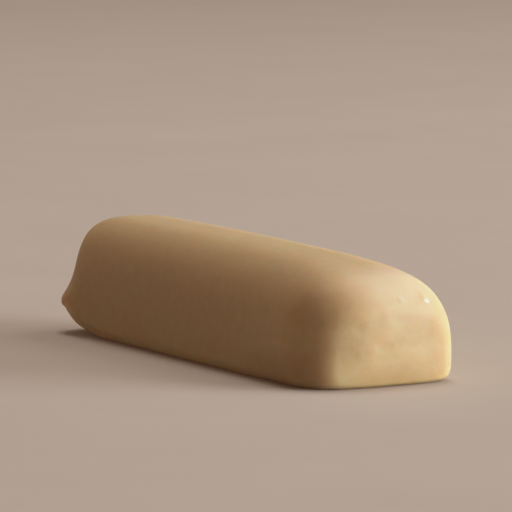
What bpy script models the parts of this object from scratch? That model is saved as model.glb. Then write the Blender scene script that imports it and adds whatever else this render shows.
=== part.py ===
# Marzipan loaf: one bar of almond paste, pressed in film and unwrapped, lying on its flat base.
# Metres, +Z up. +X is the end with the shallow hollow, -X the end with the pinched ear.

import math

import bmesh
import bpy
from mathutils import Vector

for old in list(bpy.data.objects):
    bpy.data.objects.remove(old, do_unlink=True)

# Overall size of the bar before its ends are rounded
length = 0.1425
nearEnd = {"width": 0.0472, "height": 0.0310, "shoulder": 3.1}
farEnd = {"width": 0.0398, "height": 0.0332, "shoulder": 3.2}
crown = 0.0008           # extra height halfway along
lowerCorner = 5.5        # exponent of the section below its widest line: nearly square
widestLine = 0.25        # height of the widest line, as a share of the height
sideDraft = 0.03         # narrowing of the sides towards the top
settled = 0.00035        # how far the soft base has sunk into its flat contact

# How each edge turns in at the ends: reach along the bar, drop across it, exponent of the curve
nearTurn = {
    "frontSide": (0.0136, 0.0092, 2.0),
    "backSide": (0.0070, 0.0053, 2.0),
    "top": (0.0105, 0.0084, 2.0),
    "base": (0.0036, 0.0021, 2.0),
}
farTurn = {
    "frontSide": (0.0124, 0.0106, 2.0),
    "backSide": (0.0125, 0.0080, 2.0),
    "top": (0.0103, 0.0073, 2.25),
    "base": (0.0260, 0.0071, 2.0),
}
# The near end also droops towards its edges, ahead of their turn: reach, drop, exponent
nearDroop = {"top": (0.0369, 0.0032, 2.15), "backSide": (0.0204, 0.0003, 2.0)}
# How far the middle of each end stands proud of its edges
endBulge = {"rise": 0.0013, "reach": 0.012, "halfWidth": 0.0235, "middle": 0.013, "halfHeight": 0.018}

# The pinched ear at the far front corner, drawn out where the film was sealed
ear = {
    "height": 0.0097,
    "corner": (0.003, -0.018),   # middle of the pull: inwards from the end, and across
    "fade": 0.0090,              # its radius, seen from above
    "above": 0.0052,
    "below": 0.0044,
    "tipHalfHeight": 0.0023,
    "pull": 0.0033,
    "tipPull": 0.0007,
    "towards": (-0.62, -0.78),
}

# The far seal line, a low ridge across that end from the ear
sealRidge = {"height": 0.0095, "halfHeight": 0.0022, "rise": 0.0006}

# The shallow hollow in the near end, and the lip under it
hollow = {
    "centre": (0.0065, 0.0148),
    "halfSize": (0.0110, 0.0056),
    "depth": 0.00025,
}
lip = {"centre": (0.0105, 0.0082), "halfSize": (0.0085, 0.0019), "rise": 0.00012}
markReach = 0.003        # how far along the bar an end's marks fade out

# Grid of the surface
nearReach = 0.034        # how far in from each end the close rings go
farReach = 0.026
nearRings = 13
middleRings = 18
farRings = 12
acrossCuts = 11          # each side of the middle
upperCuts = 12
lowerCuts = 6


def turnIn(distance, turn):
    # Elliptical turn: full drop at the end itself, none beyond the reach
    reach, drop, power = turn
    q = min(max(1 - distance / reach, 0.0), 1.0)
    return drop * (1 - (1 - q ** power) ** (1 / power))


def droop(distance, slope):
    # Gentle fall that steepens towards the end, with no turn of its own
    reach, drop, power = slope
    return drop * min(max(1 - distance / reach, 0.0), 1.0) ** power


def mix(far, near, share):
    return far * (1 - share) + near * share


def sectionAt(x):
    # Half-widths, top, base and exponents of the upright section at one place along the bar
    share = (x + length / 2) / length
    toNear = length / 2 - x
    toFar = x + length / 2
    width = mix(farEnd["width"], nearEnd["width"], share)
    height = mix(farEnd["height"], nearEnd["height"], share) + crown * 4 * share * (1 - share)

    def turned(edge):
        return turnIn(toNear, nearTurn[edge]) + turnIn(toFar, farTurn[edge])

    base = turned("base")
    return {
        "front": width / 2 - turned("frontSide"),
        "back": width / 2 - turned("backSide") - droop(toNear, nearDroop["backSide"]),
        "top": height - turned("top") - droop(toNear, nearDroop["top"]),
        "base": base,
        "widest": max(widestLine * height, base + 0.0005),
        "height": height,
        "shoulder": mix(farEnd["shoulder"], nearEnd["shoulder"], share),
    }


def pointOnSection(section, across, up):
    # (across, up) lies on or in a square of half-size 1; its rim becomes the section's outline
    rim = max(abs(across), abs(up))
    if rim < 1e-6:
        return 0.0, section["widest"]
    a = across / rim
    u = up / rim
    power = section["shoulder"] if u >= 0 else lowerCorner
    scale = (abs(a) ** power + abs(u) ** power) ** (-1 / power)
    halfWidth = section["back"] if a > 0 else section["front"]
    rise = section["top"] - section["widest"] if u > 0 else section["widest"] - section["base"]
    y = halfWidth * a * scale * rim
    z = section["widest"] + rise * u * scale * rim
    y *= 1 - sideDraft * max(z - section["widest"], 0) / section["height"]
    return y, z


def bump(value, centre, halfSize):
    return math.exp(-((value - centre) / halfSize) ** 2)


def plateau(y, z, mark):
    # Flat in the middle with soft shoulders, near zero beyond the half-sizes
    across = (y - mark["centre"][0]) / mark["halfSize"][0]
    up = (z - mark["centre"][1]) / mark["halfSize"][1]
    return math.exp(-across ** 4 - up ** 4)


def earPull(x, y, z):
    rise = z - ear["height"]
    spread = abs(rise) / (ear["above"] if rise > 0 else ear["below"])
    body = math.exp(-spread ** (1.6 if rise > 0 else 2.0))
    tip = bump(rise, 0, ear["tipHalfHeight"])
    fromCorner = (x + length / 2 - ear["corner"][0]) ** 2 + (y - ear["corner"][1]) ** 2
    plan = math.exp(-fromCorner / ear["fade"] ** 2)
    return (ear["pull"] * body + ear["tipPull"] * tip) * plan


def bulge(x, y, z):
    # Both ends swell towards their middles; the swelling fades out along the bar
    nearEdge = length / 2 - abs(x)
    share = max(1 - nearEdge / endBulge["reach"], 0) ** 2
    across = 1 - (y / endBulge["halfWidth"]) ** 2
    up = 1 - ((z - endBulge["middle"]) / endBulge["halfHeight"]) ** 2
    return math.copysign(endBulge["rise"] * share * max(across, 0) * max(up, 0), x)


def shaped(co):
    # A place on the plain block, moved to the same place on the loaf
    x = co.x
    y, z = pointOnSection(sectionAt(x), co.y, co.z)
    atNear = bump(co.x, length / 2, markReach)
    atFar = bump(co.x, -length / 2, markReach)
    x += bulge(co.x, y, z)
    x -= atNear * hollow["depth"] * plateau(y, z, hollow)
    x += atNear * lip["rise"] * plateau(y, z, lip)
    x -= atFar * sealRidge["rise"] * bump(z, sealRidge["height"], sealRidge["halfHeight"])
    pull = earPull(x, y, z)
    x += pull * ear["towards"][0]
    y += pull * ear["towards"][1]
    return Vector((x, y, max(z - settled, 0.0)))


def ringPlaces():
    # Upright cuts along the bar, closer together where an end turns in
    far = [-length / 2 + farReach * (i / farRings) ** 2.0 for i in range(1, farRings + 1)]
    near = [length / 2 - nearReach * (i / nearRings) ** 2.2 for i in range(nearRings, 0, -1)]
    step = (near[0] - far[-1]) / middleRings
    return far + [far[-1] + step * i for i in range(1, middleRings)] + near


def acrossPlaces():
    # Closer together towards the edges of the bar
    half = [t * (1.15 - 0.15 * t * t) for t in (i / acrossCuts for i in range(acrossCuts))]
    return [-v for v in half[:0:-1]] + half


def upPlaces():
    # Closer together at the widest line, where the ear and the lip are
    upper = [(i / upperCuts) ** 1.25 for i in range(upperCuts)]
    lower = [-(i / lowerCuts) ** 0.9 for i in range(lowerCuts - 1, 0, -1)]
    return lower + upper


def cutAcross(bm, axis, places):
    normal = Vector((0, 0, 0))
    normal[axis] = 1
    for place in places:
        parts = bm.verts[:] + bm.edges[:] + bm.faces[:]
        bmesh.ops.bisect_plane(bm, geom=parts, dist=1e-7, plane_co=normal * place, plane_no=normal)


def makeLoaf():
    bm = bmesh.new()
    bmesh.ops.create_cube(bm, size=2)
    bmesh.ops.scale(bm, vec=(length / 2, 1, 1), verts=bm.verts[:])
    cutAcross(bm, 0, ringPlaces())
    cutAcross(bm, 1, acrossPlaces())
    cutAcross(bm, 2, upPlaces())
    for vert in bm.verts:
        vert.co = shaped(vert.co)

    # The frame's origin is under the middle of the loaf, on the plane that it rests on
    low = [min(v.co[i] for v in bm.verts) for i in range(3)]
    high = [max(v.co[i] for v in bm.verts) for i in range(3)]
    middle = Vector(((low[0] + high[0]) / 2, (low[1] + high[1]) / 2, low[2]))
    bmesh.ops.translate(bm, vec=-middle, verts=bm.verts[:])
    bmesh.ops.recalc_face_normals(bm, faces=bm.faces[:])

    mesh = bpy.data.meshes.new("marzipan_loaf")
    bm.to_mesh(mesh)
    bm.free()
    mesh.shade_smooth()
    return mesh


def marzipan():
    material = bpy.data.materials.new("marzipan")
    material.use_nodes = True
    shader = material.node_tree.nodes["Principled BSDF"]
    shader.inputs["Base Color"].default_value = (0.78, 0.60, 0.36, 1)
    shader.inputs["Roughness"].default_value = 0.42
    shader.inputs["Metallic"].default_value = 0.0
    return material


loaf = bpy.data.objects.new("marzipan_loaf", makeLoaf())
loaf.data.materials.append(marzipan())
bpy.context.collection.objects.link(loaf)
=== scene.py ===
import math

import bmesh
import bpy
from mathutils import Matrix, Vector, noise


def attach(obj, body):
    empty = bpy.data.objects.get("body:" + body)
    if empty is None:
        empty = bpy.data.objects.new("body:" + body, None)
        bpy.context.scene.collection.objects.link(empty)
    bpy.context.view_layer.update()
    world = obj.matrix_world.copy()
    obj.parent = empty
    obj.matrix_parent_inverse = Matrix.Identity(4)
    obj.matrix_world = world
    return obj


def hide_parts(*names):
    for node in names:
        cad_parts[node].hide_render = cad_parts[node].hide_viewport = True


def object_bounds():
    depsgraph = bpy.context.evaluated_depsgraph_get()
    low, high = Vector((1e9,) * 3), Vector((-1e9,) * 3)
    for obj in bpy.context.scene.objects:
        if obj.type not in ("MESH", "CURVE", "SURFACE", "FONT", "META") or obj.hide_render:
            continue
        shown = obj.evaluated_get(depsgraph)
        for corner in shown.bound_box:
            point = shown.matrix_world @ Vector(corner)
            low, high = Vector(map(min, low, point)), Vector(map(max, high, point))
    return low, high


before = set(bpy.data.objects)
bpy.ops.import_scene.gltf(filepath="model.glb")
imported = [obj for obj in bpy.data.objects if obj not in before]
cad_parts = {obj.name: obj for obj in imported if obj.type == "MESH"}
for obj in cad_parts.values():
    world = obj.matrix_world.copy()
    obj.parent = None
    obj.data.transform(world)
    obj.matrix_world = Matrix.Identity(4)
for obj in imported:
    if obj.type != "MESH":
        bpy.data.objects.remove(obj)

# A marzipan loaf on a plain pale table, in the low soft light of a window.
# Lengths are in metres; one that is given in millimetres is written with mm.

mm = 0.001
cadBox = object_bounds()
scene = bpy.context.scene

# Camera first: a long lens a little above the table, looking at the near end's corner
cameraLook = {
    "azimuth": 59.41,        # degrees: 0 faces the front side, 90 the near end
    "elevation": 6.63,
    "distance": 1.3,
    "lens": 333.9,
    "sensor": 36,
    "clip": (0.05, 20),
    "aim": Vector((0.47, 2.91, 27.25)) * mm,
}


def towards(azimuth, elevation):
    # Unit vector from the object to something that stands at this azimuth and elevation
    a, e = math.radians(azimuth), math.radians(elevation)
    return Vector((math.sin(a) * math.cos(e), -math.cos(a) * math.cos(e), math.sin(e)))


def makeCamera(look):
    data = bpy.data.cameras.new("camera")
    data.lens = look["lens"]
    data.sensor_width = look["sensor"]
    data.clip_start, data.clip_end = look["clip"]
    camera = bpy.data.objects.new("camera", data)
    back = towards(look["azimuth"], look["elevation"])
    camera.location = look["aim"] + back * look["distance"]
    camera.rotation_euler = (-back).to_track_quat("-Z", "Y").to_euler()
    scene.collection.objects.link(camera)
    scene.camera = camera
    print("camera set")


# Shader trees

class Wire:
    # A socket's value, with the maths that the materials use
    def __init__(self, tree, socket):
        self.tree = tree
        self.socket = socket

    def maths(self, operation, first, second):
        return self.tree.node("Math", {"operation": operation}, {0: first, 1: second})

    def __add__(self, other):
        return self.maths("ADD", self, other)

    def __mul__(self, other):
        return self.maths("MULTIPLY", self, other)

    def __rsub__(self, other):
        return self.maths("SUBTRACT", other, self)

    __radd__ = __add__
    __rmul__ = __mul__


class Tree:
    def __init__(self, name):
        self.material = bpy.data.materials.new(name)
        self.material.use_nodes = True
        self.nodes = self.material.node_tree.nodes
        self.links = self.material.node_tree.links
        self.shader = self.nodes["Principled BSDF"]
        self.here = self.node("TexCoord", {}, {}, "Object")

    def set(self, socket, value):
        if isinstance(value, Wire):
            self.links.new(value.socket, socket)
        else:
            socket.default_value = value

    def node(self, kind, settings, values, output=0):
        made = self.nodes.new("ShaderNode" + kind)
        for name, value in settings.items():
            setattr(made, name, value)
        for name, value in values.items():
            self.set(made.inputs[name], value)
        return Wire(self, made.outputs[output])

    def noise(self, grain):
        values = {"Vector": self.here, "Scale": grain["scale"], "Detail": grain["detail"],
                  "Roughness": grain["roughness"]}
        return self.node("TexNoise", {}, values)

    def spread(self, value, low, high, start=0.0, end=1.0):
        # Low to high becomes start to end, and values beyond them stop there
        values = {"Value": value, "From Min": low, "From Max": high, "To Min": start, "To Max": end}
        return self.node("MapRange", {}, values)

    def patches(self, grain, start=0.0, end=1.0):
        # Noise whose range becomes start to end
        return self.spread(self.noise(grain), *grain["range"], start, end)

    def around(self, spot, core):
        # 1 in the middle of a round spot, up to its core, and fading to 0 at its rim
        values = {"Vector": self.here, "Location": Vector(spot["at"]) * mm,
                  "Scale": Vector(spot["halfSize"]) * mm}
        local = self.node("Mapping", {"vector_type": "TEXTURE"}, values)
        distance = self.node("VectorMath", {"operation": "LENGTH"}, {0: local}, 1)
        return 1 - self.spread(distance, core, 1)

    def blend(self, share, first, second):
        # A Mix node's colours are its seventh and eighth inputs and its third output
        return self.node("Mix", {"data_type": "RGBA"}, {0: share, 6: first, 7: second}, 2)

    def finish(self, **sockets):
        for name, value in sockets.items():
            self.set(self.shader.inputs[name.replace("_", " ")], value)
        return self.material


def asObject(mesh, name, material):
    made = bpy.data.objects.new(name, mesh)
    mesh.materials.append(material)
    scene.collection.objects.link(made)
    return made


# The loaf: the CAD form, refined, with the marks of its film and its handling

loafForm = {
    "merge": 0.002 * mm,
    "joinFlat": 40,              # degrees: how flat two triangles lie that become one quad
    "joinShape": 60,             # degrees: how far that quad may be from square
    "levels": 2,
    # Low waves all over: size and height of each
    "waves": [(15 * mm, 0.12 * mm), (6 * mm, 0.04 * mm), (3 * mm, 0.020 * mm), (1.5 * mm, 0.008 * mm)],
    "waveShift": Vector((3.1, 7.7, 1.3)),    # which part of the noise they come from
    "rimHeight": 1.6 * mm,       # the ragged edge of the base fades out up to here
    "rimRoughness": 0.22 * mm,
    "rimGrain": 2.6 * mm,
    "rimSwell": 0.1,             # how far the ragged edge stands out on the whole
    "heldHeight": 0.4 * mm,      # the table holds the paste still below this
    "heldShare": 0.15,           # what is left of the waves on the table itself
    "sag": 0.08,                 # share by which the foot of the front side has spread
    "sagHeight": 2.6 * mm,
    "sagReach": 66 * mm,
}

# How the near end leans back from its middle, towards the front corner and towards the table,
# and how far its lower edge has settled
nearLean = {
    "from": 52 * mm,             # along the loaf: none of the lean up to here
    "full": 70 * mm,             # and all of it from here
    "cornerFrom": -1.0 * mm,     # the front corner's lean starts at this line
    "corner": 12.5,              # metres back for each square metre beyond that line
    "cornerHeights": (3 * mm, 11 * mm),
    "cornerLow": 0.45,           # share of the lean that is left below those heights
    "footFrom": 9.0 * mm,
    "foot": 4.0,                 # metres back for each square metre below that height
    "squat": 0.4,                # share of its height that the lower edge has lost
    "squatFrom": 38 * mm,
    "squatFull": 66 * mm,
    "squatHeight": 5 * mm,
}

# Marks left by the folds of the film, and by handling. Each follows its points (mm) and fades away
# over its width; a rise (mm) stands proud, and a rise below zero is a dent.
filmMarks = {
    "corner fold": {"rise": -0.14, "width": 1.7, "points": [
        (71.4, -17.2, 17.0), (72.0, -15.1, 16.8), (72.6, -12.8, 16.7), (72.9, -8.4, 16.1)]},
    "slanting fold": {"rise": -0.15, "width": 1.7, "points": [
        (73.0, -7.8, 15.6), (73.0, -5.0, 16.0), (72.9, -3.5, 16.9), (72.9, -2.5, 19.0)]},
    "upright fold": {"rise": 0.12, "width": 2.0, "points": [
        (72.8, -0.6, 19.6), (72.8, 0.9, 17.7), (72.9, 1.5, 15.3), (72.9, 0.2, 13.3)]},
    "upper crease": {"rise": -0.06, "width": 1.2, "points": [
        (72.8, 0.9, 19.3), (72.8, 2.4, 18.2), (72.8, 4.8, 17.7), (72.7, 6.3, 18.0)]},
    "lower crease": {"rise": -0.08, "width": 1.3, "points": [
        (73.0, -2.3, 10.2), (73.0, 0.5, 10.4)]},
    "right lip": {"rise": 0.07, "width": 1.7, "points": [
        (72.9, 2.4, 10.0), (73.0, 4.5, 8.8), (72.9, 8.6, 8.7), (72.8, 10.9, 9.6), (72.3, 18.3, 9.0)]},
    "left lip": {"rise": 0.12, "width": 1.2, "points": [
        (72.9, -8.2, 9.1), (73.0, -4.1, 10.2)]},
    "blister": {"rise": 0.53, "width": 1.1, "points": [
        (70.8, 12.6, 23.0), (70.9, 13.6, 22.8)]},
    "small blister": {"rise": 0.26, "width": 0.7, "points": [
        (71.6, 4.7, 22.9), (71.7, 4.9, 22.7)]},
    "side seam": {"rise": -0.035, "width": 1.1, "points": [
        (6.0, -22.8, 15.6), (34.0, -23.0, 17.6), (62.0, -22.6, 17.4), (71.0, -18.0, 17.0)]},
    "ear nub": {"rise": 0.30, "width": 1.1, "points": [
        (-65.6, -21.4, 8.9), (-66.2, -21.0, 8.6)]},
    "ear notch": {"rise": -0.35, "width": 0.7, "points": [
        (-63.5, -21.1, 7.3), (-65.6, -20.8, 7.3), (-67.5, -20.0, 7.3)]},
    "tucked flap": {"rise": -0.75, "width": 0.7, "points": [
        (-57.0, -19.6, 4.0), (-53.3, -20.1, 3.0), (-51.5, -20.1, 2.6), (-49.9, -20.0, 2.2)]},
}
markEdge = 3                     # widths from a mark's points at which it has faded out


def refined(node, form):
    # A smooth, merged copy of a CAD node's mesh
    bm = bmesh.new()
    bm.from_mesh(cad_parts[node].data)
    bmesh.ops.remove_doubles(bm, verts=bm.verts[:], dist=form["merge"])
    bmesh.ops.join_triangles(bm, faces=bm.faces[:], angle_face_threshold=math.radians(form["joinFlat"]),
                             angle_shape_threshold=math.radians(form["joinShape"]))
    mesh = bpy.data.meshes.new("refined")
    bm.to_mesh(mesh)
    bm.free()
    made = bpy.data.objects.new("refined", mesh)
    scene.collection.objects.link(made)
    smooth = made.modifiers.new("smooth", "SUBSURF")
    smooth.levels = smooth.render_levels = form["levels"]
    graph = bpy.context.evaluated_depsgraph_get()
    result = bpy.data.meshes.new_from_object(made.evaluated_get(graph))
    bpy.data.objects.remove(made)
    return result


def pressed(mesh, form):
    # Low waves all over, a slightly ragged edge where the base meets the table, and the sag
    moves = []
    for vert in mesh.vertices:
        move = 0
        for size, height in form["waves"]:
            move += height * noise.noise(vert.co / size + form["waveShift"])
        standing = min(vert.co.z / form["rimHeight"], 1)
        rim = (1 - standing) * min(1, abs(vert.normal.x) + abs(vert.normal.y))
        ragged = noise.noise(vert.co / form["rimGrain"]) + form["rimSwell"]
        move += rim * form["rimRoughness"] * ragged
        moves.append(vert.normal * move * min(1, vert.co.z / form["heldHeight"] + form["heldShare"]))
    for vert, move in zip(mesh.vertices, moves):
        vert.co += move
        vert.co.z = max(vert.co.z, 0)
        if vert.co.y < 0:
            low = max(1 - vert.co.z / form["sagHeight"], 0) ** 2
            middle = max(1 - (vert.co.x / form["sagReach"]) ** 4, 0)
            vert.co.y *= 1 + form["sag"] * low * middle


def away(co, points):
    # Distance from a place to the nearest stretch between the points
    best = math.inf
    for start, end in zip(points, points[1:]):
        along = end - start
        share = min(max((co - start).dot(along) / along.length_squared, 0), 1)
        best = min(best, (start + along * share - co).length)
    return best


def marked(mesh, marks):
    normals = [vert.normal.copy() for vert in mesh.vertices]
    for mark in marks.values():
        points = [Vector(p) * mm for p in mark["points"]]
        width = mark["width"] * mm
        low = [min(p[i] for p in points) - markEdge * width for i in range(3)]
        high = [max(p[i] for p in points) + markEdge * width for i in range(3)]
        for vert, normal in zip(mesh.vertices, normals):
            co = vert.co.copy()
            if all(low[i] < co[i] < high[i] for i in range(3)):
                share = math.exp(-(away(co, points) / width) ** 2)
                vert.co = co + normal * mark["rise"] * mm * share


def ramp(value, low, high):
    # 0 below low, 1 above high, and smooth between
    t = min(max((value - low) / (high - low), 0), 1)
    return t * t * (3 - 2 * t)


def leaned(mesh, lean):
    for vert in mesh.vertices:
        co = vert.co
        high = ramp(co.z, *lean["cornerHeights"])
        corner = lean["corner"] * max(lean["cornerFrom"] - co.y, 0) ** 2
        corner *= lean["cornerLow"] + (1 - lean["cornerLow"]) * high
        foot = lean["foot"] * max(lean["footFrom"] - co.z, 0) ** 2
        near = ramp(co.x, lean["from"], lean["full"])
        low = max(1 - co.z / lean["squatHeight"], 0)
        co.z *= 1 - lean["squat"] * ramp(co.x, lean["squatFrom"], lean["squatFull"]) * low
        co.x -= (corner + foot) * near


loafLook = {
    "paste": (0.545, 0.402, 0.224, 1),
    # Colours that run through the paste, each with its noise and with its share where that is full
    "tones": {
        "rosy": {"colour": (0.545, 0.386, 0.218, 1), "share": 0.6,
                 "scale": 90, "detail": 3, "roughness": 0.5, "range": (0.35, 0.7)},
        "pale": {"colour": (0.600, 0.465, 0.290, 1), "share": 0.25,
                 "scale": 900, "detail": 2, "roughness": 0.6, "range": (0.6, 0.8)},
        "dull": {"colour": (0.512, 0.372, 0.200, 1), "share": 0.9,
                 "scale": 380, "detail": 3, "roughness": 0.6, "range": (0.35, 0.65)},
    },
    # Painted sheen and painted shade (mm): a paler, whiter colour over the near end's upper edge paints
    # the lamps' sheen there;
    # darker, redder colour along that end's lower edge and low on the front side near the corner paints
    # shade
    "paintedSheenAndShade": {
        # painted sheen: a paler, whiter colour stands in for the soft reflection of the lamps on the
        # near end's upper edge
        "paintedSheen": {"colour": (0.62, 0.50, 0.36, 1), "share": 0.65,
                  "at": (69.0, 5.0, 28.0), "halfSize": (16.0, 16.0, 16.0)},
        # painted shade: darker, redder colour along the near end's lower edge
        "foot": {"colour": (0.425, 0.262, 0.118, 1), "share": 0.7,
                 "at": (73.0, 3.43, 0.5), "halfSize": (10.83, 18.57, 6.5)},
        # painted shade: darker colour low on the front side near the corner
        "under": {"colour": (0.400, 0.262, 0.150, 1), "share": 0.75,
                  "at": (62.0, -23.0, 1.0), "halfSize": (28.57, 10.0, 10.0)},
    },
    "zoneCore": 0.3,
    # Spots where oil has come out under the blisters and on the left lip (mm)
    "oily": {
        "blister": {"at": (71.1, 13.3, 22.0), "halfSize": (1.92, 1.92, 1.92)},
        "small blister": {"at": (71.9, 4.9, 22.2), "halfSize": (0.96, 0.96, 0.96)},
        "left lip": {"at": (73.0, -6.0, 9.7), "halfSize": (1.28, 1.28, 1.28)},
    },
    "oilyCore": 0.5,
    "oilyRoughness": 0.16,
    "roughness": 0.52,
    "shine": {"scale": 260, "detail": 3, "roughness": 0.5, "range": (0.3, 0.7)},
    "shineChange": (-0.05, 0.07),
    "reflection": 0.14,
    "refraction": 1.45,
    "depth": (0.0120, 0.0043, 0.0019),       # how far red, green and blue light goes in
    "grain": {"scale": 1500, "detail": 3, "roughness": 0.6},
    "coarseGrain": {"scale": 420, "detail": 2, "roughness": 0.5},
    "coarseShare": 1.5,
    "grainHeight": 0.05 * mm,
    "grainStrength": 0.5,
}


def marzipan(look):
    tree = Tree("marzipan")
    colour = look["paste"]
    for tone in look["tones"].values():
        colour = tree.blend(tree.patches(tone) * tone["share"], colour, tone["colour"])
    # painted sheen and painted shade laid over the paste's colour
    for zone in look["paintedSheenAndShade"].values():
        colour = tree.blend(tree.around(zone, look["zoneCore"]) * zone["share"], colour, zone["colour"])
    oily = sum(tree.around(spot, look["oilyCore"]) for spot in look["oily"].values())
    roughness = tree.patches(look["shine"], *look["shineChange"]) + look["roughness"]
    grain = tree.noise(look["grain"]) + tree.noise(look["coarseGrain"]) * look["coarseShare"]
    bump = tree.node("Bump", {}, {"Strength": look["grainStrength"], "Distance": look["grainHeight"],
                                  "Height": grain})
    return tree.finish(Base_Color=colour, Roughness=roughness, Normal=bump,
                       Coat_Weight=oily, Coat_Roughness=look["oilyRoughness"],
                       Subsurface_Weight=1, Subsurface_Scale=1, Subsurface_Radius=look["depth"],
                       IOR=look["refraction"], Specular_IOR_Level=look["reflection"])


def makeLoaf():
    mesh = refined("marzipan_loaf", loafForm)
    pressed(mesh, loafForm)
    marked(mesh, filmMarks)
    leaned(mesh, nearLean)
    mesh.shade_smooth()
    mesh.materials.clear()
    loaf = asObject(mesh, "loaf", marzipan(loafLook))
    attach(loaf, "root")
    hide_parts("marzipan_loaf")
    print("loaf:", len(mesh.polygons), "faces,", len(filmMarks), "marks")


# The table

floorLook = {
    "size": 12,
    "pale": (0.490, 0.440, 0.388, 1),
    "dim": (0.470, 0.420, 0.368, 1),
    "clouds": {"scale": 14, "detail": 5, "roughness": 0.6, "range": (0.3, 0.7)},
    # painted glow: the floor gives off a little light of its own, standing in for light reflected from
    # the table's surface
    "paintedGlow": (0.036, 0.021, 0.013, 1),        # a faint glow that lifts the shadows
    "roughness": 0.8,
    "reflection": 0.3,
}


def makeFloor(look):
    bm = bmesh.new()
    bmesh.ops.create_grid(bm, x_segments=2, y_segments=2, size=look["size"] / 2)
    mesh = bpy.data.meshes.new("floor")
    bm.to_mesh(mesh)
    bm.free()
    tree = Tree("plaster")
    colour = tree.blend(tree.patches(look["clouds"]), look["dim"], look["pale"])
    # the floor's emission is a painted glow, not a lamp
    material = tree.finish(Base_Color=colour, Roughness=look["roughness"],
                           Specular_IOR_Level=look["reflection"],
                           Emission_Color=look["paintedGlow"], Emission_Strength=1)
    asObject(mesh, "floor", material)
    print("table laid")


# Each light: where it stands (degrees), how far off, its width and height, its power and its colour
lights = {
    "window": {"azimuth": 137, "elevation": 8, "distance": 3, "size": (2.0, 0.9), "power": 148,
               "colour": (0.95, 0.99, 1)},
    "back": {"azimuth": 170, "elevation": 48, "distance": 3, "size": (1.4, 1.4), "power": 20.5,
             "colour": (1, 0.93, 0.88)},
    "top": {"azimuth": 240, "elevation": 73, "distance": 3, "size": (1.4, 1.4), "power": 37,
            "colour": (1, 0.89, 0.81)},
    "front": {"azimuth": 10, "elevation": 55, "distance": 3, "size": (1.6, 1.6), "power": 5.5,
              "colour": (1, 0.6, 0.5)},
}
sky = {"colour": (0.42, 0.325, 0.26, 1), "strength": 0.20}


def makeLights():
    centre = (cadBox[0] + cadBox[1]) / 2
    for name, look in lights.items():
        data = bpy.data.lights.new(name, "AREA")
        data.shape = "RECTANGLE"
        data.size, data.size_y = look["size"]
        data.energy = look["power"]
        data.color = look["colour"]
        lamp = bpy.data.objects.new(name, data)
        back = towards(look["azimuth"], look["elevation"])
        lamp.location = centre + back * look["distance"]
        lamp.rotation_euler = (-back).to_track_quat("-Z", "Y").to_euler()
        scene.collection.objects.link(lamp)
    world = bpy.data.worlds.new("studio")
    world.use_nodes = True
    background = world.node_tree.nodes["Background"]
    background.inputs["Color"].default_value = sky["colour"]
    background.inputs["Strength"].default_value = sky["strength"]
    scene.world = world
    print("lights set:", len(lights))


# The picture's brightness curve: straight up to the middle, then a soft shoulder
shoulder = [
    (0, 0), (0.25, 0.25), (0.5, 0.5), (0.7, 0.69),
    (0.87, 0.80), (1.05, 0.87), (1.4, 0.94), (2, 1),
]
allChannels = 3                  # the curve that acts on red, green and blue alike


def softenHighlights(points):
    view = scene.view_settings
    view.view_transform = "Standard"
    view.use_curve_mapping = True
    view.curve_mapping.use_clip = False
    curve = view.curve_mapping.curves[allChannels]
    curve.points[0].location = points[0]
    curve.points[1].location = points[-1]
    for x, y in points[1:-1]:
        curve.points.new(x, y)
    view.curve_mapping.update()


makeCamera(cameraLook)
makeLoaf()
makeFloor(floorLook)
makeLights()
softenHighlights(shoulder)
